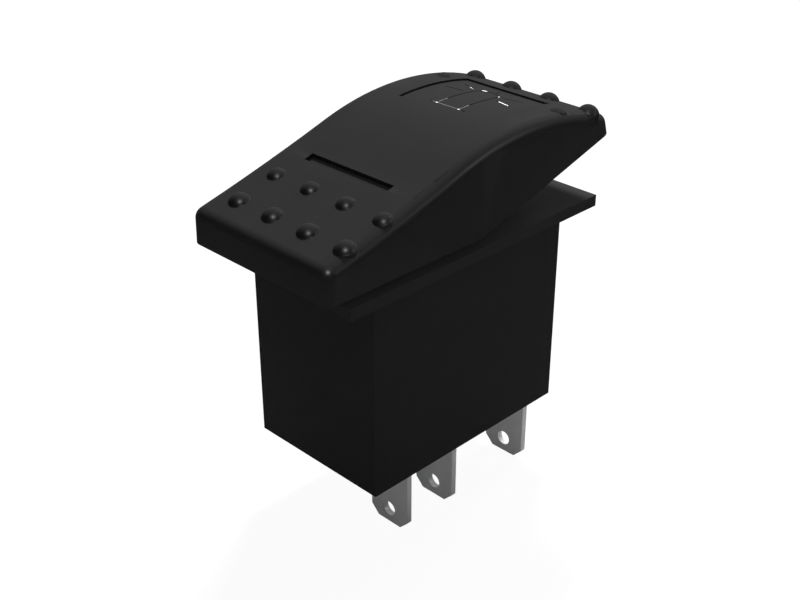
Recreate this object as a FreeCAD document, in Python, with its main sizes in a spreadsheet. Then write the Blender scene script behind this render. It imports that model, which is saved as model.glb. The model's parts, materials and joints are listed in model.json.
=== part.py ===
import FreeCAD, Part
import Sketcher
import math
import os
import re

# Panel rocker switch, single pole, changeover, with its lower end pressed.
# X runs along the rocker, from the lower end with the marker bar (-X) to the upper end with
# the legend window (+X). Y runs across it, and Z points out of the panel.
# The origin is the middle of the panel opening, on the panel's front face.
# Left and right are the operator's, with the legend window at the top: left is +Y.
# The working parts and the three terminals are in the case's right half.
# Lengths are millimetres and angles are degrees.

doc = FreeCAD.newDocument("panel_rocker_switch")
sheet = doc.addObject("Spreadsheet::Sheet", "sizes")

SIZES = [
    # flange that lies on the panel, and the case behind it
    ("flange_length", 42.7),
    ("flange_width", 24.4),
    ("flange_thickness", 1.5),
    ("case_length", 32.8),
    ("case_height", 26.9),
    ("case_wall", 1.4),
    ("case_floor", 2.0),
    ("partition_thickness", 1.2),
    ("chamber_clearance", 0.65),
    # rocker: its side outline is drawn from the pivot, level, before it is tilted
    ("pivot_height", 4.4),
    ("rocker_angle", 8.0),
    ("rocker_width", 23.5),
    ("lower_reach", 24.3),
    ("upper_reach", 24.55),
    ("vertex_drop", 2.0),
    ("end_lean", 9.5),
    ("crown_offset", 4.3),
    ("crown_rise", 9.0),
    ("upper_end_height", 3.5),
    ("join_angle", 9.9),
    ("hollow_radius", 300.0),
    ("rocker_edge_radius", 1.45),
    ("rocker_wall", 1.6),
    ("roof_thickness", 2.2),
    # grip bumps: rows across the rocker, set nearer its right side
    ("lower_bump_pitch", 5.92),
    ("lower_row_offset", 1.17),
    ("upper_bump_pitch", 6.25),
    ("upper_outer_offset", 1.05),
    ("upper_inner_offset", 0.55),
    ("outer_bump_radius", 1.3),
    ("outer_bump_rise", 0.8),
    ("inner_bump_radius", 1.15),
    ("inner_bump_rise", 0.65),
    ("flat_bump_radius", 1.0),
    ("flat_bump_rise", 0.35),
    ("lower_outer_row", 19.4),
    ("lower_inner_row", 13.6),
    ("upper_outer_row", 21.5),
    ("upper_inner_row", 16.1),
    # legend window on the crown, and the marker bar on the lower half
    ("legend_start", 1.85),
    ("legend_length", 12.8),
    ("legend_width", 13.7),
    ("legend_recess", 0.25),
    ("legend_thickness", 1.0),
    ("legend_peg_radius", 0.75),
    ("legend_peg_spread", 8.0),
    ("marker_place", 9.25),
    ("marker_width", 1.35),
    ("marker_length", 13.7),
    ("marker_recess", 0.5),
    ("marker_lip", 1.0),
    ("insert_clearance", 0.05),
    # pivot pins, and the ears of the bezel that hold them
    ("pin_radius", 1.0),
    ("pin_chamfer", 0.2),
    ("pin_clearance", 0.05),
    ("pin_end_clearance", 0.15),
    ("wall_skin", 0.5),
    ("ear_radius", 2.4),
    ("ear_thickness", 1.2),
    ("ear_clearance", 0.15),
    # opening of the bezel, and its snap legs inside the case
    ("opening_length", 15.0),
    ("opening_margin", 0.2),
    ("leg_thickness", 1.3),
    ("leg_width", 5.0),
    ("leg_length", 9.0),
    ("leg_spread", 10.0),
    ("leg_clearance", 0.1),
    ("nose_height", 2.2),
    ("nose_reach", 0.5),
    ("nose_clearance", 0.2),
    # sprung plunger in a barrel under the rocker
    ("barrel_radius", 2.25),
    ("barrel_clearance", 0.55),
    ("barrel_reach", 11.0),
    ("bore_top", 3.0),
    ("rib_thickness", 1.2),
    ("plunger_radius", 1.7),
    ("plunger_clearance", 0.08),
    ("plunger_reach", 17.0),
    ("plunger_shoulder", 6.0),
    ("nose_length", 1.4),
    ("stalk_radius", 0.8),
    ("stalk_length", 4.0),
    ("spring_radius", 1.3),
    ("wire_radius", 0.24),
    ("spring_pitch", 2.1),
    ("spring_clearance", 0.05),
    # see-saw contact arm
    ("seesaw_angle", 6.0),
    ("seesaw_length", 19.6),
    ("seesaw_width", 4.4),
    ("seesaw_thickness", 0.8),
    ("seesaw_corner", 0.8),
    ("notch_length", 1.4),
    ("notch_depth", 0.7),
    ("channel_radius", 4.0),
    ("channel_depth", 0.3),
    ("plunger_gap", 0.25),
    # contact buttons
    ("contact_place", 8.0),
    ("contact_radius", 1.5),
    ("contact_height", 0.7),
    ("contact_gap", 0.22),
    # quick-connect blades and the strips above them
    ("strip_thickness", 0.8),
    ("blade_width", 6.35),
    ("blade_length", 9.2),
    ("blade_inset", 0.6),
    ("blade_corner", 1.43),
    ("blade_bevel", 0.2),
    ("blade_hole_radius", 1.0),
    ("blade_hole_height", 2.2),
    ("shoulder_depth", 1.0),
    ("slot_clearance", 0.05),
    ("tongue_width", 4.8),
    ("bend_radius", 0.4),
    ("shelf_margin", 0.3),
    ("lower_blade_place", 10.0),
    ("common_blade_place", 1.8),
    ("upper_blade_place", 12.2),
    ("jog_height", 2.5),
    ("saddle_gap", 0.1),
    ("horn_height", 1.2),
    ("horn_clearance", 0.1),
]

for row, (alias, number) in enumerate(SIZES, start=1):
    sheet.set("A%d" % row, alias.replace("_", " "))
    sheet.set("B%d" % row, str(number))
    sheet.setAlias("B%d" % row, alias)
doc.recompute()

ALIASES = {alias for alias, number in SIZES}

# Sizes that follow from others: the crown's arc reaches the rocker's upper end at its height,
# the barrels stand inside the ears, and the case is as wide as its chambers and walls
FOLLOWING = {
    "crown_radius": "(crown_rise - upper_end_height) / 2"
                    " + (upper_reach - crown_offset) ^ 2 / (2 * (crown_rise - upper_end_height))",
    "column_place": "rocker_width / 2 - rocker_wall - ear_clearance - ear_thickness"
                    " - barrel_clearance - barrel_radius",
    "case_width": "2 * (column_place + tongue_width / 2 + chamber_clearance + case_wall)",
}


# Writes each size in an expression by its full name, or by the sizes that it follows from
def bound(text):
    def full(word):
        if word[0] in FOLLOWING:
            return "(%s)" % bound(FOLLOWING[word[0]])
        return "sizes." + word[0] if word[0] in ALIASES else word[0]

    return re.sub(r"[a-z_]+", full, str(text))


# Number that an expression stands for, used where a sketch is first drawn
def value(text):
    return float(sheet.evalExpression(bound(text)))


# Heights and places that follow from the driving dimensions
crown_centre = "(crown_rise - crown_radius)"
join_x = "(crown_offset - crown_radius * sin(join_angle))"
hollow_x = "(crown_offset - (crown_radius + hollow_radius) * sin(join_angle))"
hollow_z = "(%s + (crown_radius + hollow_radius) * cos(join_angle))" % crown_centre
lower_corner = "(lower_reach * tan(rocker_angle) - vertex_drop)"
upper_corner = "(upper_reach * tan(rocker_angle) - vertex_drop)"
legend_from = "(legend_start / crown_radius * 180 / pi)"
legend_to = "((legend_start + legend_length) / crown_radius * 180 / pi)"
legend_middle = "((legend_start + legend_length / 2) / crown_radius * 180 / pi)"
chamber_end = "(case_length / 2 - case_wall)"
chamber_side = "(case_width / 2 - case_wall)"
barrel_bore = "(plunger_radius + plunger_clearance)"
ear_outside = "(rocker_width / 2 - rocker_wall - ear_clearance)"
ear_middle = "(rocker_width / 2 - rocker_wall - ear_clearance - ear_thickness / 2)"
opening_width = "(2 * (rocker_width / 2 - rocker_wall - ear_clearance - ear_thickness - opening_margin))"
seesaw_seat = ("(pivot_height - plunger_reach - seesaw_thickness"
               " + channel_depth - plunger_gap)")
shelf_top = ("(%s - contact_place * sin(seesaw_angle) - contact_height * cos(seesaw_angle)"
             " - contact_gap - contact_height)") % seesaw_seat
blade_place = "(blade_inset + blade_width / 2 - case_width / 2)"
blade_top = "(shoulder_depth - case_height)"


# Height of the rocker's top above the pivot at a place on the lower half, less an inset
def hollow_surface(x, inset="0"):
    return "(%s - sqrt((hollow_radius + %s) ^ 2 - (%s - %s) ^ 2))" % (hollow_z, inset, x, hollow_x)


# Height of the rocker's top above the pivot at a place on the crown
def crown_surface(x):
    return "(%s + sqrt(crown_radius ^ 2 - (%s - crown_offset) ^ 2))" % (crown_centre, x)


def new_body(label):
    body = doc.addObject("PartDesign::Body", label)
    body.Label = label
    return body


# Sketch on one of the body's own planes, moved along the plane's normal where an offset is given
def new_sketch(body, role, offset=None):
    sketch = body.newObject("Sketcher::SketchObject", body.Name + "_sketch")
    plane = [feature for feature in body.Origin.OriginFeatures if feature.Role == role][0]
    sketch.AttachmentSupport = (plane, [""])
    sketch.MapMode = "FlatFace"
    if offset is not None:
        sketch.setExpression("AttachmentOffset.Base.z", bound(offset))
    return sketch


# Adds one driving constraint, and ties its value to the sheet
def drive(sketch, kind, *arguments):
    text = arguments[-1]
    number = math.radians(value(text)) if kind == "Angle" else value(text)
    index = sketch.addConstraint(Sketcher.Constraint(kind, *arguments[:-1], number))
    sketch.setExpression("Constraints[%d]" % index, bound(text))


# Holds a point of the sketch by its two coordinates
def place(sketch, element, point, x, y):
    drive(sketch, "DistanceX", -1, 1, element, point, x)
    drive(sketch, "DistanceY", -1, 1, element, point, y)


def spot(x, y):
    return FreeCAD.Vector(value(x), value(y), 0)


def join(sketch, element, point, other, other_point):
    sketch.addConstraint(Sketcher.Constraint("Coincident", element, point, other, other_point))


# Closed outline of straight lines
def outline(sketch, corners):
    first = sketch.GeometryCount
    for here, there in zip(corners, corners[1:] + corners[:1]):
        sketch.addGeometry(Part.LineSegment(spot(*here), spot(*there)))
    for step, corner in enumerate(corners):
        join(sketch, first + step, 1, first + (step - 1) % len(corners), 2)
        place(sketch, first + step, 1, *corner)


def rectangle(sketch, low_x, low_y, high_x, high_y):
    outline(sketch, [(low_x, low_y), (high_x, low_y), (high_x, high_y), (low_x, high_y)])


def circle(sketch, x, y, radius):
    element = sketch.addGeometry(Part.Circle(spot(x, y), FreeCAD.Vector(0, 0, 1), value(radius)))
    place(sketch, element, 3, x, y)
    drive(sketch, "Radius", element, radius)


# Arc about a centre, anticlockwise between two angles seen from it
def arc(sketch, x, y, radius, start, end):
    ring = Part.Circle(spot(x, y), FreeCAD.Vector(0, 0, 1), radius)
    element = sketch.addGeometry(Part.ArcOfCircle(ring, math.radians(start), math.radians(end)))
    place(sketch, element, 3, x, y)
    return element


def extrude(kind, body, sketch, length, symmetric=False, reverse=False):
    feature = body.newObject("PartDesign::" + kind, body.Name + "_" + kind.lower())
    feature.Profile = sketch
    feature.setExpression("Length", bound(length))
    if symmetric:
        feature.SideType = "Symmetric"
    feature.Reversed = reverse
    body.Tip = feature
    return feature


def pad(body, sketch, length, **options):
    return extrude("Pad", body, sketch, length, **options)


def pocket(body, sketch, length, **options):
    return extrude("Pocket", body, sketch, length, **options)


def revolve(body, sketch):
    feature = body.newObject("PartDesign::Revolution", body.Name + "_revolution")
    feature.Profile = sketch
    feature.ReferenceAxis = (sketch, ["V_Axis"])
    feature.Angle = 360
    body.Tip = feature
    return feature


# Names of the edges whose middle point passes a test
def edges_where(feature, test):
    names = []
    for number, edge in enumerate(feature.Shape.Edges, start=1):
        middle = edge.valueAt((edge.FirstParameter + edge.LastParameter) / 2)
        if test(middle, edge):
            names.append("Edge%d" % number)
    return names


# Rounds or bevels the edges that pass a test
def dress(kind, body, size_property, size, test):
    doc.recompute()
    base = body.Tip
    feature = body.newObject("PartDesign::" + kind, body.Name + "_" + kind.lower())
    feature.Base = (base, edges_where(base, test))
    feature.setExpression(size_property, bound(size))
    body.Tip = feature
    return feature


def fillet(body, radius, test):
    return dress("Fillet", body, "Radius", radius, test)


def chamfer(body, size, test):
    return dress("Chamfer", body, "Size", size, test)


def near(number, text):
    return abs(number - value(text)) < 0.01


# Puts a body at a place, and tilts it about Y: lift raises the +X end, and dip lowers it
def seat(body, x, y, z, lift=None, dip=None):
    axis = FreeCAD.Vector(0, -1 if lift else 1, 0)
    turn = lift or dip
    degrees = value(turn) if turn else 0
    body.Placement = FreeCAD.Placement(FreeCAD.Vector(), FreeCAD.Rotation(axis, degrees))
    body.setExpression("Placement.Base.x", bound(x))
    body.setExpression("Placement.Base.y", bound(y))
    body.setExpression("Placement.Base.z", bound(z))
    if turn:
        body.setExpression("Placement.Rotation.Angle", bound(turn))


# Case: an open box with a partition between its halves, slots for the terminals in its floor
# and blind pockets for the bezel's snap noses in its end walls
def make_case():
    body = new_body("case")
    block = new_sketch(body, "XY_Plane", "-case_height")
    rectangle(block, "-case_length / 2", "-case_width / 2", "case_length / 2", "case_width / 2")
    pad(body, block, "case_height")
    chambers = new_sketch(body, "XY_Plane")
    for side in (-1, 1):
        inner = "%d * partition_thickness / 2" % side
        outer = "%d * %s" % (side, chamber_side)
        rectangle(chambers, "-" + chamber_end, inner, chamber_end, outer)
    pocket(body, chambers, "case_height - case_floor")
    seats = new_sketch(body, "XY_Plane", "-case_height")
    slots = new_sketch(body, "XY_Plane", "-case_height")
    half_slot = "(strip_thickness / 2 + slot_clearance)"
    half_blade = "(blade_width / 2 + slot_clearance)"
    half_tongue = "(tongue_width / 2 + slot_clearance)"
    for x in ("-lower_blade_place", "-common_blade_place", "upper_blade_place"):
        rectangle(seats, "%s - %s" % (x, half_slot), "%s - %s" % (blade_place, half_blade),
                  "%s + %s" % (x, half_slot), "%s + %s" % (blade_place, half_blade))
        rectangle(slots, "%s - %s" % (x, half_slot), "-column_place - %s" % half_tongue,
                  "%s + %s" % (x, half_slot), "%s - column_place" % half_tongue)
    pocket(body, seats, "shoulder_depth", reverse=True)
    pocket(body, slots, "case_floor", reverse=True)
    for side in (-1, 1):
        catches = new_sketch(body, "XZ_Plane", "%d * leg_spread / 2" % -side)
        for end in (-1, 1):
            rectangle(catches, "%d * (%s - leg_clearance)" % (end, chamber_end),
                      "-leg_length - nose_clearance",
                      "%d * (%s - leg_clearance + nose_reach + nose_clearance)" % (end, chamber_end),
                      "nose_height - leg_length + nose_clearance")
        pocket(body, catches, "leg_width + 2 * nose_clearance", symmetric=True)
    return body


# Bezel: the flange plate on the panel, the two ears that carry the rocker, and four snap legs
def make_bezel():
    body = new_body("bezel")
    plate = new_sketch(body, "XY_Plane")
    rectangle(plate, "-flange_length / 2", "-flange_width / 2", "flange_length / 2", "flange_width / 2")
    rectangle(plate, "-opening_length / 2", "-%s / 2" % opening_width,
              "opening_length / 2", "%s / 2" % opening_width)
    pad(body, plate, "flange_thickness")
    for side in (-1, 1):
        ear = new_sketch(body, "XZ_Plane", "%d * %s" % (-side, ear_middle))
        root = "flange_thickness / 2"
        for first, second in ((("-ear_radius", "pivot_height"), ("-ear_radius", root)),
                              (("-ear_radius", root), ("ear_radius", root)),
                              (("ear_radius", root), ("ear_radius", "pivot_height"))):
            ear.addGeometry(Part.LineSegment(spot(*first), spot(*second)))
        top = arc(ear, "0", "pivot_height", value("ear_radius"), 0, 180)
        join(ear, 0, 2, 1, 1)
        join(ear, 1, 2, 2, 1)
        join(ear, 2, 2, top, 1)
        join(ear, top, 2, 0, 1)
        place(ear, 1, 1, "-ear_radius", root)
        place(ear, 1, 2, "ear_radius", root)
        place(ear, top, 1, "ear_radius", "pivot_height")
        drive(ear, "DistanceY", -1, 1, top, 2, "pivot_height")
        circle(ear, "0", "pivot_height", "pin_radius")
        pad(body, ear, "ear_thickness", symmetric=True)
    for side in (-1, 1):
        legs = new_sketch(body, "XZ_Plane", "%d * leg_spread / 2" % -side)
        for end in (-1, 1):
            outside = "%d * (%s - leg_clearance)" % (end, chamber_end)
            inside = "%d * (%s - leg_clearance - leg_thickness)" % (end, chamber_end)
            nose = "%d * (%s - leg_clearance + nose_reach)" % (end, chamber_end)
            outline(legs, [(inside, "flange_thickness / 2"), (outside, "flange_thickness / 2"),
                           (outside, "nose_height - leg_length"),
                           (nose, "nose_height - leg_length"),
                           (outside, "-leg_length"), (inside, "-leg_length")])
        pad(body, legs, "leg_width", symmetric=True)
    return body


# Side outline of the rocker, or of its cavity where an inset is given: two leaning ends,
# a long hollow arc over the lower half and a crown arc over the upper half
def rocker_outline(sketch, inset, lower, upper, closing):
    start = (lower[0], lower[1])
    finish = (upper[0], upper[1])
    crown = value("crown_radius - (%s)" % inset)
    hollow = value("hollow_radius + (%s)" % inset)
    join_turn = value("join_angle")
    lower_top = (lower[0], hollow_surface(lower[0], inset))
    upper_top = (upper[0], crown_surface(upper[0]))
    lower_end = sketch.addGeometry(Part.LineSegment(spot(*start), spot(*lower_top)))
    upper_end = sketch.addGeometry(Part.LineSegment(spot(*finish), spot(*upper_top)))
    end_turn = math.degrees(math.asin((value(upper[0]) - value("crown_offset")) / crown))
    crown_arc = arc(sketch, "crown_offset", crown_centre, crown, 90 - end_turn, 90 + join_turn)
    start_turn = math.degrees(math.asin((value(hollow_x) - value(lower[0])) / hollow))
    hollow_arc = arc(sketch, hollow_x, hollow_z, hollow, 270 - start_turn, 270 + join_turn)
    drive(sketch, "Radius", crown_arc, "crown_radius - (%s)" % inset)
    drive(sketch, "DistanceX", -1, 1, crown_arc, 2,
          "crown_offset - (crown_radius - (%s)) * sin(join_angle)" % inset)
    join(sketch, hollow_arc, 2, crown_arc, 2)
    join(sketch, lower_end, 2, hollow_arc, 1)
    join(sketch, upper_end, 2, crown_arc, 1)
    place(sketch, lower_end, 1, *start)
    place(sketch, upper_end, 1, *finish)
    drive(sketch, "Angle", lower_end, "90 - end_lean")
    drive(sketch, "Angle", upper_end, "90 + end_lean")
    chain = [start] + closing + [finish]
    first = sketch.GeometryCount
    for here, there in zip(chain, chain[1:]):
        sketch.addGeometry(Part.LineSegment(spot(*here), spot(*there)))
    join(sketch, first, 1, lower_end, 1)
    for step, corner in enumerate(closing):
        join(sketch, first + step + 1, 1, first + step, 2)
        place(sketch, first + step + 1, 1, *corner)
    join(sketch, first + len(closing), 2, upper_end, 1)


# Grip bumps: many-sided domes of one row, spaced across the rocker. Each dome is lofted
# through rings of a ball, from the lowest latitude up to its top.
BUMP_SIDES = 12


def bump_row(body, x, surface, radius, rise, count, pitch, start, lowest=0):
    sphere = "((%s ^ 2 + %s ^ 2) / (2 * %s))" % (radius, rise, rise)
    middle = "%s + %s - %s" % (surface, rise, sphere)
    rings = []
    for latitude in (lowest, 12, 42, 72):
        ring = new_sketch(body, "XY_Plane", "%s + %s * sin(%d)" % (middle, sphere, latitude))
        reach = "%s * cos(%d)" % (sphere, latitude)
        outline(ring, [("%s + %s * cos(%d)" % (x, reach, turn), "%s + %s * sin(%d)" % (start, reach, turn))
                       for turn in range(0, 360, 360 // BUMP_SIDES)])
        rings.append(ring)
    dome = body.newObject("PartDesign::AdditiveLoft", body.Name + "_bump")
    dome.Profile = rings[0]
    dome.Sections = rings[1:]
    dome.Ruled = True
    body.Tip = dome
    doc.recompute()
    row = body.newObject("PartDesign::LinearPattern", body.Name + "_bump_row")
    row.Originals = [dome]
    across = [feature for feature in body.Origin.OriginFeatures if feature.Role == "Y_Axis"][0]
    row.Direction = (across, [""])
    row.Occurrences = count
    row.setExpression("Length", bound("%d * %s" % (count - 1, pitch)))
    body.Tip = row
    doc.recompute()


# Rocker: a hollow moulding with two barrels under its roof, the right one for the plunger,
# a slot and a pocket for its inserts, blind bores for the pivot pins and rows of grip bumps
def make_rocker():
    body = new_body("rocker")
    side = new_sketch(body, "XZ_Plane")
    rocker_outline(side, "0", ("-lower_reach", lower_corner), ("upper_reach", upper_corner),
                   [("0", "-vertex_drop")])
    pad(body, side, "rocker_width", symmetric=True)

    # the long top edges, the top edges of the ends and the four upright corners
    def rounded(middle, edge):
        above = abs(middle.x) * math.tan(math.radians(value("rocker_angle"))) - value("vertex_drop")
        along_side = near(abs(middle.y), "rocker_width / 2")
        across_end = near(middle.y, "0") and not near(middle.x, join_x)
        return middle.z > above + 0.3 and (along_side or across_end)

    fillet(body, "rocker_edge_radius", rounded)
    cavity = new_sketch(body, "XZ_Plane")
    below = "-vertex_drop - rocker_wall"
    lower_wall = "rocker_wall - lower_reach"
    upper_wall = "upper_reach - rocker_wall"
    rocker_outline(cavity, "roof_thickness", (lower_wall, lower_corner), (upper_wall, upper_corner),
                   [(lower_wall, below), (upper_wall, below)])
    pocket(body, cavity, "rocker_width - 2 * rocker_wall", symmetric=True)
    bores = new_sketch(body, "XZ_Plane")
    circle(bores, "0", "0", "pin_radius + pin_clearance")
    pocket(body, bores, "rocker_width - 2 * wall_skin", symmetric=True)
    barrels = new_sketch(body, "XY_Plane", "-barrel_reach")
    circle(barrels, "0", "column_place", "barrel_radius")
    circle(barrels, "0", "-column_place", "barrel_radius")
    pad(body, barrels, "barrel_reach + crown_rise - roof_thickness / 2 - channel_depth")
    rib = new_sketch(body, "XY_Plane", "-vertex_drop / 2")
    rectangle(rib, "-rib_thickness / 2", "-column_place", "rib_thickness / 2", "column_place")
    pad(body, rib, "vertex_drop / 2 + crown_rise - roof_thickness / 2 - channel_depth")
    springs = new_sketch(body, "XY_Plane", "-barrel_reach")
    circle(springs, "0", "column_place", barrel_bore)
    circle(springs, "0", "-column_place", barrel_bore)
    pocket(body, springs, "barrel_reach + bore_top", reverse=True)
    lower_start = "-1.5 * lower_bump_pitch - lower_row_offset"
    upper_start = "-1.5 * upper_bump_pitch - %s"
    bump_row(body, "-lower_outer_row", hollow_surface("-lower_outer_row"),
             "outer_bump_radius", "outer_bump_rise", 4, "lower_bump_pitch", lower_start)
    bump_row(body, "-lower_inner_row", hollow_surface("-lower_inner_row"),
             "inner_bump_radius", "inner_bump_rise", 4, "lower_bump_pitch", lower_start)
    bump_row(body, "upper_outer_row", crown_surface("upper_outer_row"),
             "outer_bump_radius", "outer_bump_rise", 4, "upper_bump_pitch",
             upper_start % "upper_outer_offset", lowest=-30)
    bump_row(body, "upper_inner_row", crown_surface("upper_inner_row"),
             "flat_bump_radius", "flat_bump_rise", 2, "3 * upper_bump_pitch", upper_start % "upper_inner_offset")
    marker = new_sketch(body, "XY_Plane")
    rectangle(marker, "-marker_place - marker_width / 2", "-marker_length / 2",
              "marker_width / 2 - marker_place", "marker_length / 2")
    pocket(body, marker, "2 * crown_rise", reverse=True)
    window = new_sketch(body, "XZ_Plane")
    sector(window, "crown_radius - legend_recess - legend_thickness", "crown_radius + 2 * outer_bump_rise", "0")
    pocket(body, window, "legend_width", symmetric=True)
    pegs = new_sketch(body, "XY_Plane", "crown_rise / 2")
    legend_pegs(pegs, "legend_peg_radius + insert_clearance")
    pocket(body, pegs, "crown_rise / 2 - legend_recess", reverse=True)
    seat(body, "0", "0", "pivot_height", lift="rocker_angle")
    return body


# Ring sector about the crown's centre, over the legend window
def sector(sketch, inner, outer, clearance):
    margin = "(%s / crown_radius * 180 / pi)" % clearance
    first = "(90 - %s + %s)" % (legend_to, margin)
    last = "(90 - %s - %s)" % (legend_from, margin)
    low = arc(sketch, "crown_offset", crown_centre, value(inner), value(first), value(last))
    high = arc(sketch, "crown_offset", crown_centre, value(outer), value(first), value(last))

    def rim(radius, turn):
        return ("crown_offset + (%s) * cos(%s)" % (radius, turn),
                "%s + (%s) * sin(%s)" % (crown_centre, radius, turn))

    right = sketch.addGeometry(Part.LineSegment(spot(*rim(inner, first)), spot(*rim(outer, first))))
    left = sketch.addGeometry(Part.LineSegment(spot(*rim(outer, last)), spot(*rim(inner, last))))
    join(sketch, right, 1, low, 1)
    join(sketch, right, 2, high, 1)
    join(sketch, left, 1, high, 2)
    join(sketch, left, 2, low, 2)
    drive(sketch, "Radius", low, inner)
    drive(sketch, "Radius", high, outer)
    for element, point, radius, turn in ((low, 1, inner, first), (low, 2, inner, last),
                                         (high, 1, outer, first), (high, 2, outer, last)):
        drive(sketch, "DistanceX", -1, 1, element, point, rim(radius, turn)[0])


def legend_pegs(sketch, radius):
    middle = "crown_offset + crown_radius * sin(%s)" % legend_middle
    circle(sketch, middle, "legend_peg_spread / 2", radius)
    circle(sketch, middle, "-legend_peg_spread / 2", radius)


# Legend insert: a curved plate with two pegs, below the crown's surface
def make_legend_insert():
    body = new_body("legend_insert")
    plate = new_sketch(body, "XZ_Plane")
    sector(plate, "crown_radius - legend_recess - legend_thickness", "crown_radius - legend_recess",
           "insert_clearance")
    pad(body, plate, "legend_width - 2 * insert_clearance", symmetric=True)
    middle = "(crown_offset + crown_radius * sin(%s))" % legend_middle
    plate_middle = "(%s - legend_recess - legend_thickness / 2)" % crown_surface(middle)
    pegs = new_sketch(body, "XY_Plane", plate_middle)
    legend_pegs(pegs, "legend_peg_radius")
    pad(body, pegs, "roof_thickness + legend_thickness / 2 - legend_recess", reverse=True)
    seat(body, "0", "0", "pivot_height", lift="rocker_angle")
    return body


# Marker insert: a bar that fills the slot from below, with a lip under the roof
def make_marker_insert():
    body = new_body("marker_insert")
    section = new_sketch(body, "XZ_Plane")
    low = "(insert_clearance - marker_place - marker_width / 2)"
    high = "(marker_width / 2 - marker_place - insert_clearance)"
    low_lip = "(-marker_place - marker_width / 2 - marker_lip)"
    high_lip = "(marker_width / 2 - marker_place + marker_lip)"
    ceiling = "(roof_thickness + insert_clearance)"
    floor = "(roof_thickness + insert_clearance + marker_lip)"
    outline(section, [
        (low, "%s - marker_recess" % hollow_surface(low)),
        (low, hollow_surface(low, ceiling)),
        (low_lip, hollow_surface(low_lip, ceiling)),
        (low_lip, hollow_surface(low_lip, floor)),
        (high_lip, hollow_surface(high_lip, floor)),
        (high_lip, hollow_surface(high_lip, ceiling)),
        (high, hollow_surface(high, ceiling)),
        (high, "%s - marker_recess" % hollow_surface(high)),
    ])
    pad(body, section, "marker_length - 2 * insert_clearance", symmetric=True)
    seat(body, "0", "0", "pivot_height", lift="rocker_angle")
    return body


# Pivot pin: pressed into an ear, and free in the rocker's blind bore
def make_pivot_pin(name, side):
    body = new_body("pivot_pin_" + name)
    inside = "(%s - ear_thickness)" % ear_outside
    outside = "(rocker_width / 2 - wall_skin - pin_end_clearance)"
    shaft = new_sketch(body, "XZ_Plane", "%d * %s" % (-side, inside))
    circle(shaft, "0", "0", "pin_radius")
    pad(body, shaft, "%s - %s" % (outside, inside), reverse=side > 0)
    chamfer(body, "pin_chamfer", lambda middle, edge: near(abs(middle.y), outside))
    seat(body, "0", "0", "pivot_height")
    return body


# Plunger: a pin with a tapered nose, and a stalk that guides its spring
def make_plunger():
    body = new_body("plunger")
    half = new_sketch(body, "XZ_Plane")
    outline(half, [("0", "stalk_length - plunger_shoulder"), ("stalk_radius", "stalk_length - plunger_shoulder"),
                   ("stalk_radius", "-plunger_shoulder"), ("plunger_radius", "-plunger_shoulder"),
                   ("plunger_radius", "nose_length - plunger_reach"),
                   ("0.8 * plunger_radius", "0.4 * nose_length - plunger_reach"),
                   ("0.4 * plunger_radius", "-plunger_reach"), ("0", "-plunger_reach")])
    revolve(body, half)
    seat(body, "0", "-column_place", "pivot_height", lift="rocker_angle")
    return body


# Coil spring of square wire between the plunger's shoulder and the end of the barrel's bore
def make_plunger_spring():
    body = new_body("plunger_spring")
    wire = new_sketch(body, "XZ_Plane")
    foot = "(wire_radius + spring_clearance - plunger_shoulder)"
    outline(wire, [("spring_radius - wire_radius", foot), ("spring_radius", "%s - wire_radius" % foot),
                   ("spring_radius + wire_radius", foot), ("spring_radius", "%s + wire_radius" % foot)])
    coil = body.newObject("PartDesign::AdditiveHelix", body.Name + "_coil")
    coil.Profile = wire
    coil.ReferenceAxis = (wire, ["V_Axis"])
    coil.Mode = 0
    coil.setExpression("Pitch", bound("spring_pitch"))
    coil.setExpression("Height", bound("bore_top - wire_radius - spring_clearance - %s" % foot))
    body.Tip = coil
    seat(body, "0", "-column_place", "pivot_height", lift="rocker_angle")
    return body


# See-saw contact arm: a strip with a notched waist and a channel that the plunger crosses.
# Its hinge line is on its underside.
def make_seesaw():
    body = new_body("seesaw")
    strip = new_sketch(body, "XY_Plane")
    edge = "seesaw_width / 2"
    waist = "(seesaw_width / 2 - notch_depth)"
    outline(strip, [
        ("-seesaw_length / 2", "-" + edge), ("-notch_length / 2", "-" + edge),
        ("-notch_length / 2", "-" + waist), ("notch_length / 2", "-" + waist),
        ("notch_length / 2", "-" + edge), ("seesaw_length / 2", "-" + edge),
        ("seesaw_length / 2", edge), ("notch_length / 2", edge),
        ("notch_length / 2", waist), ("-notch_length / 2", waist),
        ("-notch_length / 2", edge), ("-seesaw_length / 2", edge),
    ])
    pad(body, strip, "seesaw_thickness")
    fillet(body, "seesaw_corner", lambda middle, line: near(abs(middle.x), "seesaw_length / 2")
           and near(abs(middle.y), "seesaw_width / 2"))
    channel = new_sketch(body, "XZ_Plane")
    circle(channel, "0", "seesaw_thickness - channel_depth + channel_radius", "channel_radius")
    pocket(body, channel, "seesaw_width + channel_radius", symmetric=True)
    seat(body, "0", "-column_place", seesaw_seat, dip="seesaw_angle")
    return body


# Contact button, brazed to its strip: below the see-saw arm, or on top of a shelf
def make_contact(label, x, z, dip=None):
    body = new_body(label)
    face = new_sketch(body, "XY_Plane")
    circle(face, "0", "0", "contact_radius")
    pad(body, face, "contact_height", reverse=dip is not None)
    seat(body, x, "-column_place", z, dip=dip)
    return body


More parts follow.
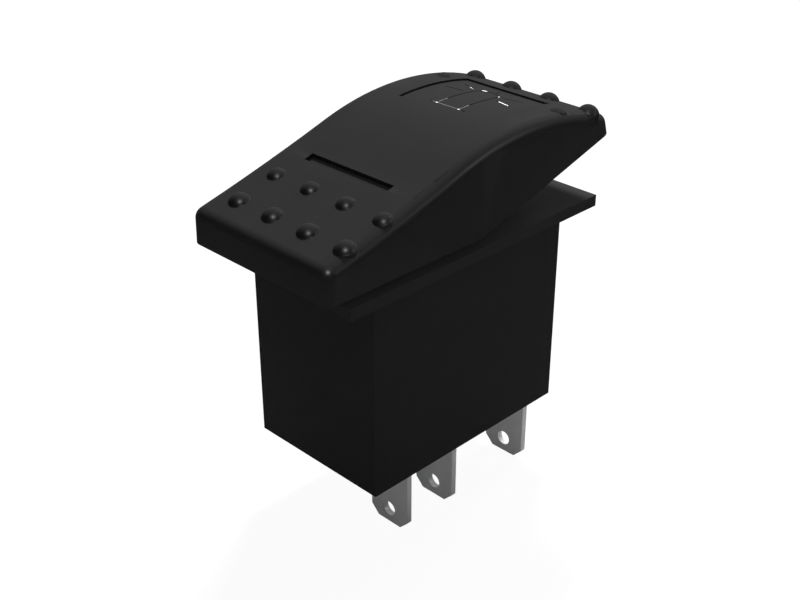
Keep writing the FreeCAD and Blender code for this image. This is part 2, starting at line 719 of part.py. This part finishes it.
# Quick-connect blade in the plane across X, with clipped corners, a locating hole
# and bevelled front and back edges at its tip
def add_blade(body, x):
    blade = new_sketch(body, "YZ_Plane", x)
    low = "(%s - blade_width / 2)" % blade_place
    high = "(%s + blade_width / 2)" % blade_place
    tip = "(-case_height - blade_length)"
    outline(blade, [(low, blade_top), (low, "%s + blade_corner" % tip),
                    ("%s + blade_corner" % low, tip), ("%s - blade_corner" % high, tip),
                    (high, "%s + blade_corner" % tip), (high, blade_top)])
    circle(blade, blade_place, "%s + blade_hole_height" % tip, "blade_hole_radius")
    pad(body, blade, "strip_thickness", symmetric=True)
    chamfer(body, "blade_bevel", lambda spot_on, edge: near(spot_on.z, tip)
            and not near(spot_on.x, x))


# Throw terminal: its strip rises from the blade and is folded inwards as a shelf for its contact
def make_throw_terminal(label, x, end):
    body = new_body(label)
    profile = new_sketch(body, "XZ_Plane", "column_place")
    outside = "(%s + %d * strip_thickness / 2)" % (x, end)
    inside = "(%s - %d * strip_thickness / 2)" % (x, end)
    tip = "(%d * (contact_place - contact_radius - shelf_margin))" % end
    under = "%s - strip_thickness" % shelf_top
    foot = "-case_height"
    outline(profile, [(outside, foot), (outside, shelf_top), (tip, shelf_top),
                      (tip, under), (inside, under), (inside, foot)])
    pad(body, profile, "tongue_width", symmetric=True)
    fillet(body, "bend_radius", lambda middle, edge: near(middle.x, inside) and near(middle.z, under))
    fillet(body, "bend_radius + strip_thickness",
           lambda middle, edge: near(middle.x, outside) and near(middle.z, shelf_top))
    add_blade(body, x)
    return body


# Common terminal: its strip is jogged to the middle, and ends in a saddle between two horns
def make_common_terminal():
    body = new_body("common_terminal")
    profile = new_sketch(body, "XZ_Plane", "column_place")
    half = "strip_thickness / 2"
    mitre = "(strip_thickness / 2 * tan(22.5))"
    foot = "-case_height"
    jog_start = "(case_floor + jog_height - case_height)"
    jog_end = "(case_floor + jog_height - case_height + common_blade_place)"
    saddle = "(%s - saddle_gap)" % seesaw_seat
    horn = "(%s + horn_height)" % saddle
    left = "(-common_blade_place - %s)" % half
    right = "(%s - common_blade_place)" % half
    outline(profile, [(left, foot), (left, "%s + %s" % (jog_start, mitre)),
                      ("-" + half, "%s + %s" % (jog_end, mitre)), ("-" + half, horn), (half, horn),
                      (half, "%s - %s" % (jog_end, mitre)),
                      (right, "%s - %s" % (jog_start, mitre)), (right, foot)])
    pad(body, profile, "tongue_width", symmetric=True)
    cradle = new_sketch(body, "YZ_Plane")
    waist = "(seesaw_width / 2 - notch_depth + horn_clearance)"
    rectangle(cradle, "-column_place - %s" % waist, saddle, "%s - column_place" % waist, "%s + 1" % horn)
    pocket(body, cradle, "2 * strip_thickness", symmetric=True)
    add_blade(body, "-common_blade_place")
    return body


pieces = [make_case(), make_bezel(), make_rocker(), make_legend_insert(), make_marker_insert(),
          make_pivot_pin("left", 1), make_pivot_pin("right", -1),
          make_plunger(), make_plunger_spring(), make_seesaw(), make_common_terminal(),
          make_throw_terminal("lower_terminal", "(-lower_blade_place)", -1),
          make_throw_terminal("upper_terminal", "upper_blade_place", 1)]
for name, end in (("lower", -1), ("upper", 1)):
    pieces.append(make_contact("moving_contact_" + name,
                               "%d * contact_place * cos(seesaw_angle)" % end,
                               "%s - %d * contact_place * sin(seesaw_angle)" % (seesaw_seat, end),
                               dip="seesaw_angle"))
    pieces.append(make_contact("fixed_contact_" + name, "%d * contact_place" % end, shelf_top))
doc.recompute()

# Nothing is written unless every object and every piece is sound
for item in doc.Objects:
    if "Invalid" in item.State or "Error" in item.State:
        raise RuntimeError("%s failed: %s" % (item.Label, item.State))
for piece in pieces:
    if piece.Shape.isNull() or not piece.Shape.isValid() or len(piece.Shape.Solids) != 1:
        raise RuntimeError("%s isn't one valid solid" % piece.Label)

os.makedirs("parts", exist_ok=True)
for piece in pieces:
    piece.Shape.exportStep("parts/%s.step" % piece.Label)
    print("%-28s %9.2f mm3" % (piece.Label, piece.Shape.Volume))
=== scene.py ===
# Panel rocker switch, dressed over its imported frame. Metres, in the frame's own axes.
import json
import math

import bmesh
import bpy
from mathutils import Matrix, Vector
from mathutils.bvhtree import BVHTree


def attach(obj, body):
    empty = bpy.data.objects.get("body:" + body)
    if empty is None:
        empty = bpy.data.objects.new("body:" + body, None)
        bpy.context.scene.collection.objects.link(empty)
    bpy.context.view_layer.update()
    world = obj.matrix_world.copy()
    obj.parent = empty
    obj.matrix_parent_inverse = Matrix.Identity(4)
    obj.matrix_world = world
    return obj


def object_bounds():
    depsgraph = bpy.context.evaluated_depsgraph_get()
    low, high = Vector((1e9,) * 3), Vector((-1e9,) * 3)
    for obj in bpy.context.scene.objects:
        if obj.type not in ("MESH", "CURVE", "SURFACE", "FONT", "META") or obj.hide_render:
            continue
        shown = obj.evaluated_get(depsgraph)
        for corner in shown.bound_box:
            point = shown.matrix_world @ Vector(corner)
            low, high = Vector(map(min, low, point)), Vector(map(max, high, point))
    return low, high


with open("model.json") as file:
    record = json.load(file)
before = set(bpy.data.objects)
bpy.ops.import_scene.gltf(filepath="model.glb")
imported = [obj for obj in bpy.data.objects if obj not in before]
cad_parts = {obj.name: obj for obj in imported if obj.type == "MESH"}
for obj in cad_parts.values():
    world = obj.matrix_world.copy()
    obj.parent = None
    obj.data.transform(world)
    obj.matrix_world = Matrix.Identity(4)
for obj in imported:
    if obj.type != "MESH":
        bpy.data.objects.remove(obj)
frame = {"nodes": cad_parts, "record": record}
cadLow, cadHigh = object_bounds()
nodes = frame["nodes"]
mm = 0.001

photoView = {
    "place": (-100.495, -98.711, 66.370),  # mm
    "azimuth": -45.0,  # degrees, 0 looks along +Y
    "elevation": 28.53,
    "roll": -0.025,
    "lens": 56.72, "sensor": 36.0,  # mm
    "near": 0.005, "far": 20.0,
}


# From the object towards a camera or lamp, for angles in degrees
def lookBack(azimuth, elevation):
    azimuth, elevation = math.radians(azimuth), math.radians(elevation)
    return Vector((math.sin(azimuth) * math.cos(elevation),
                   -math.cos(azimuth) * math.cos(elevation), math.sin(elevation)))


def makeCamera(view):
    camera = bpy.data.objects.new("photoCamera", bpy.data.cameras.new("photoCamera"))
    bpy.context.scene.collection.objects.link(camera)
    camera.data.lens = view["lens"]
    camera.data.sensor_width = view["sensor"]
    camera.data.clip_start = view["near"]
    camera.data.clip_end = view["far"]
    turn = (-lookBack(view["azimuth"], view["elevation"])).to_track_quat("-Z", "Y").to_matrix()
    roll = Matrix.Rotation(math.radians(view["roll"]), 3, "Z")
    camera.matrix_world = Matrix.Translation(Vector(view["place"]) * mm) @ (turn @ roll).to_4x4()
    bpy.context.scene.camera = camera


makeCamera(photoView)
print("camera made")

noiseSpan = (0.3, 0.7)  # holds nearly all of a noise texture's values
plasticGrain = {
    "ior": 1.5,
    "rubbed": (0.52, 0.62),  # pointiness where the rubbed colour of an edge starts and is full
    "smear": 1.7,  # grain of the roughness, in grains of the mottling
    "uneven": 0.04,  # roughness up and down
    "height": 0.00002,
}
metalGrain = {"uneven": 0.07, "height": 0.00001}


def newMaterial(name):
    material = bpy.data.materials.new(name)
    material.use_nodes = True
    tree = material.node_tree
    shader = next(n for n in tree.nodes if n.type == "BSDF_PRINCIPLED")
    return material, tree, shader


def addNode(tree, kind, **values):
    node = tree.nodes.new(kind)
    for name, setting in values.items():
        setattr(node, name, setting)
    return node


# Noise in the object's own coordinates, at a grain size in millimetres
def addNoise(tree, grain, detail, roughness=0.5, stretch=(1, 1, 1)):
    coordinates = addNode(tree, "ShaderNodeTexCoord")
    mapping = addNode(tree, "ShaderNodeMapping")
    mapping.inputs["Scale"].default_value = [1.0 / (grain * mm) * s for s in stretch]
    noise = addNode(tree, "ShaderNodeTexNoise")
    noise.inputs["Scale"].default_value = 1.0
    noise.inputs["Detail"].default_value = detail
    noise.inputs["Roughness"].default_value = roughness
    tree.links.new(coordinates.outputs["Object"], mapping.inputs["Vector"])
    tree.links.new(mapping.outputs["Vector"], noise.inputs["Vector"])
    return noise.outputs["Fac"]


# Spreads a span of values over another one, for a roughness or a share
def addSpread(tree, source, span, target, socket):
    spread = addNode(tree, "ShaderNodeMapRange")
    spread.inputs["From Min"].default_value, spread.inputs["From Max"].default_value = span
    spread.inputs["To Min"].default_value, spread.inputs["To Max"].default_value = target
    tree.links.new(source, spread.inputs["Value"])
    tree.links.new(spread.outputs["Result"], socket)


# Roughness that is a little uneven
def addRoughness(tree, source, roughness, uneven, shader):
    addSpread(tree, source, noiseSpan, (roughness - uneven, roughness + uneven), shader.inputs["Roughness"])


def addBlend(tree, first, second, share):
    blend = addNode(tree, "ShaderNodeMix", data_type="RGBA")
    blend.inputs["A"].default_value = first
    blend.inputs["B"].default_value = second
    tree.links.new(share, blend.inputs["Factor"])
    return blend.outputs["Result"]


def addBump(tree, source, depth, height, shader):
    bump = addNode(tree, "ShaderNodeBump")
    bump.inputs["Strength"].default_value = depth
    bump.inputs["Distance"].default_value = height
    tree.links.new(source, bump.inputs["Height"])
    tree.links.new(bump.outputs["Normal"], shader.inputs["Normal"])


def tint(colour, share=1.0):
    return (*(c * share for c in colour), 1)


# Moulded plastic: a satin spark-eroded grain, slight mottling, and edges rubbed a little lighter
def mouldedPlastic(name, finish):
    material, tree, shader = newMaterial(name)
    colour, variation = finish["colour"], finish["variation"]
    shader.inputs["Specular IOR Level"].default_value = finish["shine"]
    shader.inputs["IOR"].default_value = plasticGrain["ior"]
    mottle = addNoise(tree, finish["mottle"], detail=4.0)
    plain = addBlend(tree, tint(colour, 1 - variation), tint(colour, 1 + variation), mottle)
    worn = addNode(tree, "ShaderNodeMix", data_type="RGBA")
    worn.inputs["B"].default_value = tint(colour, finish["edgeWear"])
    geometry = addNode(tree, "ShaderNodeNewGeometry")
    addSpread(tree, geometry.outputs["Pointiness"], plasticGrain["rubbed"], (0, 1), worn.inputs["Factor"])
    tree.links.new(plain, worn.inputs["A"])
    tree.links.new(worn.outputs["Result"], shader.inputs["Base Color"])
    smear = addNoise(tree, finish["mottle"] * plasticGrain["smear"], detail=2.0)
    addRoughness(tree, smear, finish["roughness"], plasticGrain["uneven"], shader)
    grain = addNoise(tree, finish["grain"], detail=2.0, roughness=0.6)
    addBump(tree, grain, finish["grainDepth"], plasticGrain["height"], shader)
    return material


# Rolled or drawn metal: lines along one direction, patches of dullness
def rolledMetal(name, finish):
    material, tree, shader = newMaterial(name)
    shader.inputs["Metallic"].default_value = finish["metallic"]
    tarnish = addNoise(tree, finish["patch"], detail=5.0, roughness=0.6)
    blend = addBlend(tree, tint(finish["colour"]), tint(finish["dull"]), tarnish)
    tree.links.new(blend, shader.inputs["Base Color"])
    lines = addNoise(tree, finish["lineWidth"], detail=2.0, stretch=finish["lineStretch"])
    addRoughness(tree, lines, finish["roughness"], metalGrain["uneven"], shader)
    addBump(tree, lines, finish["lineDepth"], metalGrain["height"], shader)
    return material


# Grain sizes are in millimetres
rockerFinish = {"colour": (0.0200, 0.0200, 0.0202), "variation": 0.08, "mottle": 6.0, "edgeWear": 1.35,
                "roughness": 0.40, "shine": 0.22, "grain": 0.16, "grainDepth": 0.10}
bezelFinish = {"colour": (0.0200, 0.0200, 0.0202), "variation": 0.08, "mottle": 5.0, "edgeWear": 1.3,
               "roughness": 0.46, "shine": 0.20, "grain": 0.14, "grainDepth": 0.10}
caseFinish = {"colour": (0.0175, 0.0175, 0.0177), "variation": 0.10, "mottle": 7.0, "edgeWear": 1.3,
              "roughness": 0.50, "shine": 0.16, "grain": 0.12, "grainDepth": 0.12}
insertFinish = {"colour": (0.0206, 0.0206, 0.0208), "variation": 0.08, "mottle": 6.0, "edgeWear": 1.0,
                "roughness": 0.40, "shine": 0.22, "grain": 0.14, "grainDepth": 0.08}
plungerFinish = {"colour": (0.72, 0.70, 0.64), "variation": 0.04, "mottle": 2.0, "edgeWear": 1.0,
                 "roughness": 0.40, "shine": 0.45, "grain": 0.10, "grainDepth": 0.05}
# Paint left in the sign, whose white dabs also paint glints on it
paintAndGlintFinish = {"colour": (0.80, 0.80, 0.78), "variation": 0.03, "mottle": 1.0, "edgeWear": 1.0,
               "roughness": 0.45, "shine": 0.40, "grain": 0.06, "grainDepth": 0.10}
# Grey traces of rubbed paint, which also paint a sheen along the grooves' edges
traceAndSheenFinish = {"colour": (0.150, 0.150, 0.148), "variation": 0.05, "mottle": 1.0, "edgeWear": 1.0,
               "roughness": 0.50, "shine": 0.30, "grain": 0.06, "grainDepth": 0.10}
# Near-black strips that paint the shade of the sign's grooves
grooveShadeFinish = {"colour": (0.0040, 0.0040, 0.0040), "variation": 0.10, "mottle": 1.0, "edgeWear": 1.0,
                "roughness": 0.60, "shine": 0.10, "grain": 0.06, "grainDepth": 0.10}
bladeFinish = {"colour": (0.750, 0.750, 0.755), "dull": (0.680, 0.680, 0.685), "metallic": 0.10,
               "patch": 1.4, "lineWidth": 0.10, "lineStretch": (1, 1, 0.06), "lineDepth": 0.25,
               "roughness": 0.48}
copperFinish = {"colour": (0.62, 0.36, 0.22), "dull": (0.50, 0.28, 0.17), "metallic": 1.0,
                "patch": 1.8, "lineWidth": 0.10, "lineStretch": (0.06, 1, 1), "lineDepth": 0.25,
                "roughness": 0.36}
silverFinish = {"colour": (0.78, 0.77, 0.75), "dull": (0.62, 0.61, 0.60), "metallic": 1.0,
                "patch": 0.8, "lineWidth": 0.08, "lineStretch": (1, 1, 1), "lineDepth": 0.15,
                "roughness": 0.32}
steelFinish = {"colour": (0.56, 0.56, 0.57), "dull": (0.46, 0.46, 0.47), "metallic": 1.0,
               "patch": 0.9, "lineWidth": 0.08, "lineStretch": (1, 0.1, 1), "lineDepth": 0.15,
               "roughness": 0.30}

finishes = {
    "case_plastic": mouldedPlastic("caseBlack", caseFinish),
    "bezel_plastic": mouldedPlastic("flangeBlack", bezelFinish),
    "rocker_plastic": mouldedPlastic("rockerBlack", rockerFinish),
    "insert_plastic": mouldedPlastic("insertBlack", insertFinish),
    "plunger_plastic": mouldedPlastic("plungerNatural", plungerFinish),
    "pin_steel": rolledMetal("pinSteel", steelFinish),
    "spring_steel": rolledMetal("springWire", steelFinish),
    "contact_copper": rolledMetal("armCopper", copperFinish),
    "contact_silver": rolledMetal("contactSilver", silverFinish),
    "terminal_brass": rolledMetal("bladeTinned", bladeFinish),
}
signFinishes = {
    "grooveShade": mouldedPlastic("signGroovePaintedShade", grooveShadeFinish),
    "traceAndSheen": mouldedPlastic("signTraceAndSheen", traceAndSheenFinish),
    "paintAndGlint": mouldedPlastic("signPaintAndGlint", paintAndGlintFinish),
}
print("finishes made")

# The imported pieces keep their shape, and get their finish, smooth faces and broken edges
edgeBreak = {
    "width": {"case": 0.12, "bezel": 0.14, "legend_insert": 0.05, "marker_insert": 0.05},  # mm
    "corner": 50, "segments": 2,  # degrees, from which an edge is broken
    "smooth": 32,  # degrees, up to which faces look round
}
for row in frame["record"]["subparts"]:
    piece = nodes[row["node"]]
    piece.data.materials.clear()
    piece.data.materials.append(finishes[row["material_slot"]])
    piece.data.shade_smooth()
    piece.data.set_sharp_from_angle(angle=math.radians(edgeBreak["smooth"]))
    if row["node"] in edgeBreak["width"]:
        edge = piece.modifiers.new("edgeBreak", "BEVEL")
        edge.width = edgeBreak["width"][row["node"]] * mm
        edge.segments = edgeBreak["segments"]
        edge.limit_method = "ANGLE"
        edge.angle_limit = math.radians(edgeBreak["corner"])
        edge.harden_normals = True
print("packed pieces finished")

# The rocker's own frame: it leans by its rest angle about the pivot, and is in millimetres
rockerShape = {
    "lean": 8.0,  # degrees, the upper end raised
    "pivotHeight": 4.4,
    "crownRadius": 40.0284, "crownOffset": 4.3, "crownRise": 9.0,
    "joinAngle": 9.9,  # degrees, where the crown's arc meets the hollow's
    "hollowRadius": 300.0,
}
rockerToRow = (Matrix.Translation((0, 0, rockerShape["pivotHeight"] * mm))
               @ Matrix.Rotation(-math.radians(rockerShape["lean"]), 4, "Y") @ Matrix.Scale(mm, 4))
crownCentre = rockerShape["crownRise"] - rockerShape["crownRadius"]  # its height


# Height of the rocker's top and its slope at a place along it, both in its own frame
def rockerTop(x):
    crown, hollow, offset = (rockerShape[name] for name in ("crownRadius", "hollowRadius", "crownOffset"))
    join = math.radians(rockerShape["joinAngle"])
    if x > offset - crown * math.sin(join):
        along = x - offset
        up = math.sqrt(crown ** 2 - along ** 2)
        return crownCentre + up, -along / up
    along = x - (offset - (crown + hollow) * math.sin(join))
    down = math.sqrt(hollow ** 2 - along ** 2)
    return crownCentre + (crown + hollow) * math.cos(join) - down, along / down


def meshObject(name, work, body, material):
    mesh = bpy.data.meshes.new(name)
    work.normal_update()
    work.to_mesh(mesh)
    work.free()
    piece = bpy.data.objects.new(name, mesh)
    bpy.context.scene.collection.objects.link(piece)
    mesh.materials.append(material)
    mesh.shade_smooth()
    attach(piece, body)
    return piece


# Grip bumps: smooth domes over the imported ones, with a small foot on the rocker's top
gripBumps = {
    "kinds": {"outer": (1.30, 0.80), "inner": (1.15, 0.65), "flat": (1.00, 0.35)},  # radius and rise, mm
    "rows": [  # place along the rocker, kind, pitch, middle of the row, and the spots in pitches
        (-19.4, "outer", 5.92, -1.17, (-1.5, -0.5, 0.5, 1.5)),
        (-13.6, "inner", 5.92, -1.17, (-1.5, -0.5, 0.5, 1.5)),
        (16.1, "flat", 6.25, -0.55, (-1.5, 1.5)),
        (21.5, "outer", 6.25, -1.05, (-1.5, -0.5, 0.5, 1.5)),
    ],
    "proud": 0.012,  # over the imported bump
    "foot": 0.06,  # radius of the cove round the dome
    "above": 0.6, "probe": 3.0, "sunk": 0.02,  # where the foot's rim looks for the top, and how deep it ends
    "around": 40, "upward": 12, "cove": 5,  # steps
}


# The dome's outline from the top down, as distances out and up from the ball's middle
def domeProfile(ball, depth, settings):
    foot = settings["foot"]
    reach = math.sqrt((ball + foot) ** 2 - (depth + foot) ** 2)  # to the middle of the foot's cove
    meet = math.atan2(depth + foot, reach)
    profile = []
    for step in reversed(range(settings["upward"])):
        turn = meet + (math.pi / 2 - meet) * step / settings["upward"]
        profile.append((ball * math.cos(turn), ball * math.sin(turn)))
    for step in range(1, settings["cove"] + 1):
        turn = math.pi + meet + (math.pi / 2 - meet) * step / settings["cove"]
        profile.append((reach + foot * math.cos(turn), depth + foot + foot * math.sin(turn)))
    return profile


def addDome(work, x, y, radius, rise, settings, surface):
    height, slope = rockerTop(x)
    ball = (radius ** 2 + rise ** 2) / (2 * rise) + settings["proud"]
    middle = Vector((x, y, height + rise + settings["proud"] - ball))
    up = Vector((-slope, 0, 1)).normalized()
    side = Vector((0, 1, 0))
    front = up.cross(side)
    depth = (height - middle.z) * up.z  # from the ball's middle to the rocker's top
    profile = domeProfile(ball, depth, settings)
    count = settings["around"]
    top = work.verts.new(middle + up * ball)
    rings = []
    for number, (out, high) in enumerate(profile):
        ring = []
        for step in range(count):
            turn = 2 * math.pi * step / count
            point = middle + (front * math.cos(turn) + side * math.sin(turn)) * out + up * high
            if number == len(profile) - 1:
                hit = surface.ray_cast(point + up * settings["above"], -up, settings["probe"])[0]
                point = (hit or point) - up * settings["sunk"]
            ring.append(work.verts.new(point))
        rings.append(ring)
    for step in range(count):
        after = (step + 1) % count
        work.faces.new((top, rings[0][step], rings[0][after]))
        for upper, lower in zip(rings, rings[1:]):
            work.faces.new((upper[step], lower[step], lower[after], upper[after]))


def ownSurface(node):
    toOwn = rockerToRow.inverted()
    mesh = nodes[node].data
    corners = [toOwn @ v.co for v in mesh.vertices]
    return BVHTree.FromPolygons(corners, [tuple(p.vertices) for p in mesh.polygons])


rockerSurface = ownSurface("rocker")
domes = bmesh.new()
for place, kind, pitch, middle, spots in gripBumps["rows"]:
    for spot in spots:
        addDome(domes, place, spot * pitch + middle, *gripBumps["kinds"][kind], gripBumps, rockerSurface)
domes.transform(rockerToRow)
domePiece = meshObject("gripBumps", domes, "rocker_assembly", finishes["rocker_plastic"])
print("grip bumps made")

# The sign in the legend window: a lamp with rays, drawn as near-black strips that paint the shade of thin
# grooves, with some paint left in them whose grey traces and white dabs also paint a sheen and glints
lampSign = {
    "plate": 39.778,  # mm, the insert's radius about the crown's centre
    "middle": 0.2,  # across
    "foot": 3.62, "side": 1.8, "crown": 10.2,  # along, across and along
    "bulge": 1.9, "bulgeSteps": 16,  # the lamp's round top
    "above": {"grooveShade": 0.006, "traceAndSheen": 0.008, "paintAndGlint": 0.010}, "below": 0.03,
    "line": 0.17, "traceAndSheen": 0.10, "dab": 0.16,  # widths: a strip of painted groove shade, rubbed paint along it that also paints a sheen, and paint that fills it and also paints glints
    "step": 0.6,  # longest piece of a stroke, so that it follows the plate
    "sharp": 40,  # degrees
}


# A stroke and its mirror image about the sign's middle, as a width and places along and across
def bothSides(width, points):
    return [(width, points), (width, [(along, -across) for along, across in points])]


def lampTop(sign):
    turns = [math.pi * k / sign["bulgeSteps"] for k in range(sign["bulgeSteps"] + 1)]
    return [(sign["crown"] + sign["bulge"] * math.sin(turn), sign["side"] * math.cos(turn)) for turn in turns]


foot, side = lampSign["foot"], lampSign["side"]
line, traceAndSheen, dab = lampSign["line"], lampSign["traceAndSheen"], lampSign["dab"]
signStrokes = {
    "grooveShade": [
        (line, [(foot, 2.8), (foot, -2.8)]),  # foot
        (line, [(foot, side)] + lampTop(lampSign) + [(foot, -side)]),  # housing
        *bothSides(line, [(9.5, 2.7), (9.0, 5.3)]),  # rays
        *bothSides(line, [(11.1, 2.4), (12.2, 4.9)]),
        (line, [(12.6, 0.0), (13.6, 0.0)]),
    ],
    "traceAndSheen": [
        (traceAndSheen, [(foot, 2.5), (foot, -2.2)]),
        *bothSides(traceAndSheen, [(foot, side), (foot + 1.9, side)]),
    ],
    "paintAndGlint": [
        *bothSides(dab * 1.4, [(foot - 0.11, side), (foot + 0.11, side)]),
        (dab * 0.5, [(11.15, 2.5), (11.6, 3.55)]),
        (dab, [(9.4, -3.2), (9.05, -5.0)]),
        (dab * 1.7, [(11.75, 1.55), (12.0, 0.95)]),
        (dab * 1.4, [(11.1, -1.75), (11.3, -1.6)]),
    ],
}


def onPlate(along, across, above):
    turn = along / rockerShape["crownRadius"]
    radius = lampSign["plate"] + above
    return Vector((rockerShape["crownOffset"] + radius * math.sin(turn), across + lampSign["middle"],
                   crownCentre + radius * math.cos(turn)))


# One stroke as a thin bar that is let into the plate, with square ends
def addStroke(work, points, width, above, below):
    fine = [points[0]]
    for here, there in zip(points, points[1:]):
        steps = max(1, round(math.dist(here, there) / lampSign["step"]))
        fine += [tuple(a + (b - a) * k / steps for a, b in zip(here, there)) for k in range(1, steps + 1)]
    rings = []
    for number, (along, across) in enumerate(fine):
        before, after = fine[max(0, number - 1)], fine[min(len(fine) - 1, number + 1)]
        run = Vector((after[0] - before[0], after[1] - before[1])).normalized()
        out = width / 2
        left = (along + run.y * out, across - run.x * out)
        right = (along - run.y * out, across + run.x * out)
        rings.append([work.verts.new(onPlate(*corner, lift)) for corner, lift in
                      ((left, -below), (left, above), (right, above), (right, -below))])
    for here, there in zip(rings, rings[1:]):
        for k in range(4):
            work.faces.new((here[k], here[(k + 1) % 4], there[(k + 1) % 4], there[k]))
    work.faces.new(rings[0][::-1])
    work.faces.new(rings[-1])


# Each kind of sign stroke: painted groove shade, and paint that also paints a sheen and glints
for kind, material in signFinishes.items():
    strokes = bmesh.new()
    for width, points in signStrokes[kind]:
        addStroke(strokes, points, width, lampSign["above"][kind], lampSign["below"])
    bmesh.ops.recalc_face_normals(strokes, faces=strokes.faces)
    strokes.transform(rockerToRow)
    sign = meshObject("lampSign_" + kind, strokes, "rocker_assembly", material)
    sign.data.set_sharp_from_angle(angle=math.radians(lampSign["sharp"]))
print("sign made")

# Key, fill and low light the matt surfaces from behind the raised end; glint and edge make the highlights
lamps = {
    "key": {"azimuth": 124.0, "elevation": 54.0, "distance": 0.42, "size": 0.070, "power": 3.60,
            "gloss": False},
    "fill": {"azimuth": 112.0, "elevation": 57.0, "distance": 0.42, "size": 0.070, "power": 0.50,
             "gloss": False, "shadow": False},
    "low": {"azimuth": 97.0, "elevation": 26.0, "distance": 0.45, "size": 0.140, "power": 1.3,
            "gloss": False},
    "glint": {"azimuth": -47.0, "elevation": 52.0, "distance": 0.42, "size": 0.060, "power": 1.55,
              "matt": False},
    "edge": {"azimuth": 35.0, "elevation": 25.0, "distance": 0.42, "size": 0.080, "power": 0.22,
             "matt": False},
}


def addLamp(name, lamp):
    data = bpy.data.lights.new(name, "AREA")
    data.shape = "DISK"
    data.size = lamp["size"]
    data.energy = lamp["power"]
    data.use_shadow = lamp.get("shadow", True)
    light = bpy.data.objects.new(name, data)
    bpy.context.scene.collection.objects.link(light)
    back = lookBack(lamp["azimuth"], lamp["elevation"])
    light.location = (cadLow + cadHigh) / 2 + back * lamp["distance"]
    light.rotation_mode = "QUATERNION"
    light.rotation_quaternion = (-back).to_track_quat("-Z", "Y")
    light.visible_glossy = lamp.get("gloss", True)
    light.visible_diffuse = lamp.get("matt", True)


for name, lamp in lamps.items():
    addLamp(name, lamp)

# White where the camera sees it, dim in reflections, and a plain level as light
surround = {"seen": 1.05, "reflected": 0.05, "light": 0.13}


def addGlow(tree, kind, strength):
    glow = addNode(tree, kind)
    glow.inputs["Color"].default_value = (1, 1, 1, 1)
    glow.inputs["Strength"].default_value = strength
    return glow.outputs[0]


def mixShaders(tree, share, first, second):
    mix = addNode(tree, "ShaderNodeMixShader")
    if isinstance(share, float):
        mix.inputs["Fac"].default_value = share
    else:
        tree.links.new(share, mix.inputs["Fac"])
    tree.links.new(first, mix.inputs[1])
    tree.links.new(second, mix.inputs[2])
    return mix.outputs["Shader"]


# Joins what the camera sees, what shows in reflections, and what all other light meets
def joinByRay(tree, seen, reflected, plain, output):
    path = addNode(tree, "ShaderNodeLightPath")
    either = addNode(tree, "ShaderNodeMath", operation="MAXIMUM")
    tree.links.new(path.outputs["Is Glossy Ray"], either.inputs[0])
    tree.links.new(path.outputs["Is Transmission Ray"], either.inputs[1])
    unseen = mixShaders(tree, either.outputs["Value"], plain, reflected)
    whole = mixShaders(tree, path.outputs["Is Camera Ray"], unseen, seen)
    tree.links.new(whole, addNode(tree, output).inputs["Surface"])


world = bpy.data.worlds.new("studio")
bpy.context.scene.world = world
world.use_nodes = True
tree = world.node_tree
tree.nodes.clear()
seen, reflected, ambient = (addGlow(tree, "ShaderNodeBackground", surround[part])
                            for part in ("seen", "reflected", "light"))
joinByRay(tree, seen, reflected, ambient, "ShaderNodeOutputWorld")

# The floor under the blades: white to the camera, with the switch's soft shadow left in it
floorLook = {"reach": 3.0, "drop": 0.00002, "colour": (0.45, 0.45, 0.45), "shadow": 0.10}
floorMesh = bmesh.new()
bmesh.ops.create_grid(floorMesh, x_segments=1, y_segments=1, size=floorLook["reach"])
floorData = bpy.data.meshes.new("floor")
floorMesh.to_mesh(floorData)
floorMesh.free()
floor = bpy.data.objects.new("floor", floorData)
bpy.context.scene.collection.objects.link(floor)
floor.location.z = cadLow.z - floorLook["drop"]
floorMaterial = bpy.data.materials.new("floorWhite")
floorMaterial.use_nodes = True
tree = floorMaterial.node_tree
tree.nodes.clear()
seen, reflected = (addGlow(tree, "ShaderNodeEmission", surround[part]) for part in ("seen", "reflected"))
matt = addNode(tree, "ShaderNodeBsdfDiffuse")
matt.inputs["Color"].default_value = tint(floorLook["colour"])
shadowed = mixShaders(tree, floorLook["shadow"], seen, matt.outputs["BSDF"])
joinByRay(tree, shadowed, reflected, matt.outputs["BSDF"], "ShaderNodeOutputMaterial")
floorData.materials.append(floorMaterial)
bpy.context.scene.view_settings.view_transform = "Standard"
print("light and floor made")
